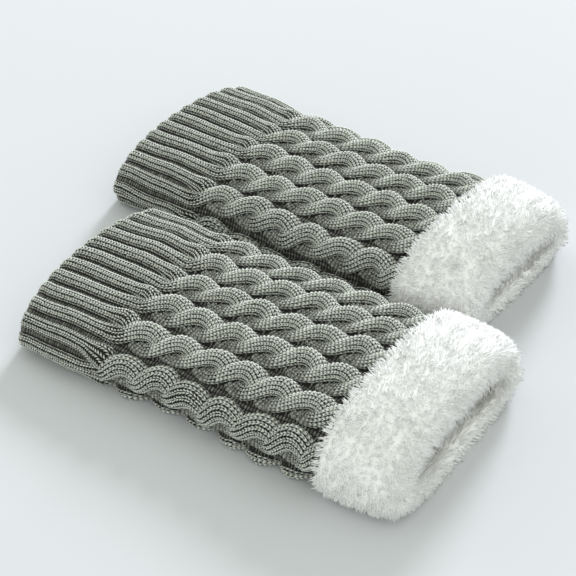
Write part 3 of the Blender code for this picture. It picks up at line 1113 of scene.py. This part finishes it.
def cuff_pile(name, tube):
    """Locks all over the cuff: longer at its lip and edge, and longest in the mouth."""
    share, cables = lock_roots()
    length, out, n_length, n_out, way = profile(share)
    roots = cuff_place(name, length - PILE * n_length, cables, out - PILE * n_out)
    outward, on, around = directions(name, length, cables, out, n_length, n_out)
    lean_s, lean_c = leans(tube, share, cables, way)
    longer = (LONGER[0] * np.exp(-((share - LIP_SHARE) / LIP_SPREAD) ** 2)
              + LONGER[1] * smooth(share, *INSIDE)
              + LONGER[2] * (1.0 - smooth(share, *AT_EDGE)))
    size = (RNG.uniform(*LOCK_LENGTH, len(share)) * (1.0 + longer))[:, None]
    lean = on * lean_s[:, None] + around * lean_c[:, None]
    tips = roots + outward * size * LOCK_RISE + lean
    radius = RNG.uniform(*LOCK_RADIUS, len(share))
    points, faces, tip, normals = locks(roots, tips, radius, LOCK_BEND * lean, outward)
    # 1 in the mouth, where the material paints shade
    deep = np.repeat(smooth(share, *IN_MOUTH), len(LOCK_TIPS))
    piece = make_piece(f"pile_{name}", points, faces, CUFF_PLUSH, None,
                       {"tip": tip, "deep": deep}, normals)
    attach(piece, "root")
    return piece


PILES = {name: cuff_pile(name, tube) for name, tube in TUBES.items()}

# %% [markdown]
# ## Lining
#
# A tube of the same plush lines the knitting. It is a plain closed shell, and only its two ends
# can be seen, so only they get pile of their own.

# %% The linings' shells
LINING_START, LINING_END = -114.0, 88.0
SEAM_GAP = 0.5
LINING_WALL = 2.5
LINING_ROWS = (LINING_START, -90.0, -66.0, -33.0, 0.0, 33.0, 67.0, LINING_END)
LINING_COLUMNS = 8  # columns of points for each cable
LINING_TIP = 0.3


def lining_shell(name, tube):
    """Rows along the outside, and back along the inside."""
    cables = np.arange(CABLES * LINING_COLUMNS) / LINING_COLUMNS
    lengths = np.array(LINING_ROWS)[:, None]
    outside = tube.place(lengths, cables[None, :], -KNIT_WALL - SEAM_GAP)
    inside = tube.place(lengths[::-1], cables[None, :], -KNIT_WALL - SEAM_GAP - LINING_WALL)
    points = np.concatenate([outside, inside]).reshape(-1, 3)
    shell = make_piece(f"lining_{name}", points, [ring_faces(2 * len(lengths), len(cables))],
                       LINING_PLUSH, None, {"tip": np.full(len(points), LINING_TIP)})
    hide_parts(f"plush_lining_{name}")
    return shell


# %% Pile at the linings' ends
END_LOCKS = 2700
SEEN_RUNS = (34.0, 22.0)  # how far in the pile goes, from the ribs and from the mouth
ROOTS = 2.3  # how deep in the lining's wall the locks stand
EDGE_ROOTS = (0.3, ROOTS)  # and on its edge
END_TIPS = (0.4, 0.6)  # `tip` at a lock's root, and how much it grows
END_LENGTH = (2.2, 3.6)
END_RADIUS = (0.4, 0.6)
END_SPREAD = 0.9


def lining_pile(name, tube):
    """Locks inside near both ends, and on the edge at the ribs, where they face out."""
    length = np.concatenate([RNG.uniform(LINING_START, LINING_START + SEEN_RUNS[0], END_LOCKS),
                             np.full(END_LOCKS // 3, LINING_START),
                             RNG.uniform(LINING_END - SEEN_RUNS[1], LINING_END, END_LOCKS // 2)])
    cables = RNG.uniform(0.0, CABLES, len(length))
    on_edge = length == LINING_START
    depth = np.where(on_edge, RNG.uniform(*EDGE_ROOTS, len(length)), ROOTS)
    grown = -KNIT_WALL - SEAM_GAP - depth
    roots = tube.place(length, cables, grown)
    inward = unit(tube.place(length - on_edge, cables, grown - 1.0) - roots)
    tips = roots + inward * RNG.uniform(*END_LENGTH, len(length))[:, None]
    tips += RNG.normal(0.0, END_SPREAD, tips.shape)
    radius = RNG.uniform(*END_RADIUS, len(length))
    points, faces, tip, normals = locks(roots, tips, radius, 0.0, inward)
    return make_piece(f"lining_pile_{name}", points, faces, LINING_PLUSH, None,
                      {"tip": END_TIPS[0] + END_TIPS[1] * tip}, normals)


LININGS = {name: (lining_shell(name, tube), lining_pile(name, tube))
           for name, tube in TUBES.items()}
for pair in LININGS.values():
    for piece in pair:
        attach(piece, "root")

# %% [markdown] ## Sheets  The knitting, the lining and the turned-out plush are sheets of
# cloth made into tubes. Their flat sizes are the way round the tube and the length along it.

for name, tube in TUBES.items():
    around = CABLES * tube.pitch(0.0) * MM
    print(f"{name} sheets are {around:.4f} m round")

# %% [markdown]
# ## Floor, light and camera
#
# A pale floor, a soft key light low behind the pair and a little to the left, a weak fill from
# the front, and a pale sky. The camera looks down from the mouths' side, with a long lens.

# %% Floor
FLOOR_REACH = 6000.0
FLOOR_DROP = 0.2  # the floor's top is this far under the pair, so they don't flicker
FLOOR_PATCHES = (2.0, 1.0)  # scale and detail of its noise
FLOOR_TONES = ((0.610, 0.618, 0.638), (0.630, 0.638, 0.655))
floor_material, floor_tree, floor_shader = finish("floor", {"Roughness": 1.0,
                                                            "Specular IOR Level": 0.0})
floor_tone = noise(floor_tree, object_place(floor_tree), *FLOOR_PATCHES)
floor_color = mixed(floor_tree, floor_tone, *FLOOR_TONES)
floor_tree.links.new(floor_color.socket, floor_shader.inputs["Base Color"])
corner = np.array([[-1, -1, 0], [1, -1, 0], [1, 1, 0], [-1, 1, 0]]) * FLOOR_REACH
floor = make_piece("floor", corner - [0, 0, FLOOR_DROP], [np.array([[0, 1, 2, 3]])],
                   floor_material)


# %% Light
SKY_COLOR = (0.95, 1.0, 0.945, 1.0)
SKY_STRENGTH = 0.92


def area_light(name, place, size, power, tint):
    """A round area light that points at the middle of the pair."""
    light = bpy.data.lights.new(name, "AREA")
    light.shape = "DISK"
    light.size = size
    light.energy = power
    light.color = tint
    lamp = bpy.data.objects.new(name, light)
    lamp.location = place
    lamp.rotation_mode = "QUATERNION"
    lamp.rotation_quaternion = (-Vector(place)).to_track_quat("-Z", "Y")
    bpy.context.scene.collection.objects.link(lamp)
    print(f"{name} light: {power} W from {place}")


area_light("key", (-0.9, 4.2, 1.9), 1.3, 238.0, (0.90, 0.92, 1.0))
area_light("fill", (2.7, -2.7, 3.6), 3.6, 16.0, (1.0, 1.0, 0.95))
world = bpy.data.worlds.new("sky")
world.use_nodes = True
world.node_tree.nodes["Background"].inputs["Color"].default_value = SKY_COLOR
world.node_tree.nodes["Background"].inputs["Strength"].default_value = SKY_STRENGTH
bpy.context.scene.world = world
bpy.context.scene.view_settings.view_transform = "Standard"

# %% Camera
CAMERA_PLACE = Vector((0.43084, -0.63985, 0.65509))
CAMERA_AIM = Vector((0.01346, -0.03029, 0.033))
LENS = 118.75  # its focal length, in millimetres
camera = bpy.data.objects.new("camera", bpy.data.cameras.new("camera"))
camera.data.lens = LENS
camera.location = CAMERA_PLACE
camera.rotation_mode = "QUATERNION"
camera.rotation_quaternion = (CAMERA_AIM - CAMERA_PLACE).to_track_quat("-Z", "Y")
bpy.context.scene.collection.objects.link(camera)
bpy.context.scene.camera = camera
print(f"the camera is {(CAMERA_AIM - CAMERA_PLACE).length:.2f} m away")
